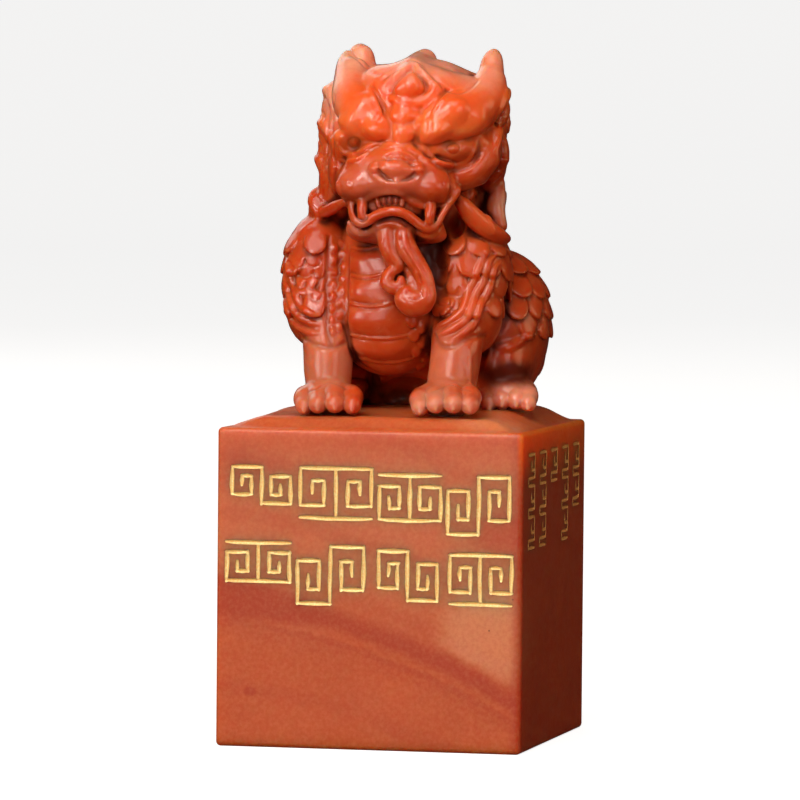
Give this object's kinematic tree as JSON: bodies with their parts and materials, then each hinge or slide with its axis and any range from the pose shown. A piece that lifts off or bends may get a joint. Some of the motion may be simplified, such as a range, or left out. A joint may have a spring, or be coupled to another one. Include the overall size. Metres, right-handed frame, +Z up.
{
  "type": "seal stamp",
  "caption": "Square polished soapstone seal with a carved seated guardian beast as its knob, a carved seal face underneath and gilt key-fret engraving on two sides.",
  "frame": {"origin": "middle of the square seal face, the face that prints and that the seal stands on", "axes": "+Z up from the seal face to the beast's crown, the beast looks along -Y, the face with the side engraving looks along +X"},
  "size_m": [0.03, 0.03, 0.0678],
  "materials": {
    "block_stone": "polished waxed soapstone, orange red with darker veins",
    "beast_stone": "carved and waxed soapstone, deeper red, slightly translucent",
    "horn_stone": "carved and waxed soapstone, paler and more translucent at the tips",
    "gilt": "gold filled into engraved strokes",
    "dull_gilt": "worn, duller gold in finer strokes"
  },
  "bodies": {
    "root": {"seal_block": "block_stone", "beast_torso": "beast_stone", "beast_head": "beast_stone", "lower_jaw": "beast_stone", "beard": "beast_stone", "mane": "beast_stone", "spine_ridge": "beast_stone", "tail": "beast_stone", "horn_left": "horn_stone", "horn_right": "horn_stone", "whisker_left": "beast_stone", "whisker_right": "beast_stone", "foreleg_left": "beast_stone", "foreleg_right": "beast_stone", "haunch_left": "beast_stone", "haunch_right": "beast_stone", "gilt_front_1": "gilt", "gilt_front_2": "gilt", "gilt_front_3": "gilt", "gilt_front_4": "gilt", "gilt_front_5": "gilt", "gilt_front_6": "gilt", "gilt_front_7": "gilt", "gilt_front_8": "gilt", "gilt_side_1": "dull_gilt", "gilt_side_2": "dull_gilt", "gilt_side_3": "dull_gilt", "gilt_side_4": "dull_gilt", "gilt_side_5": "dull_gilt"}
  },
  "joints": []
}
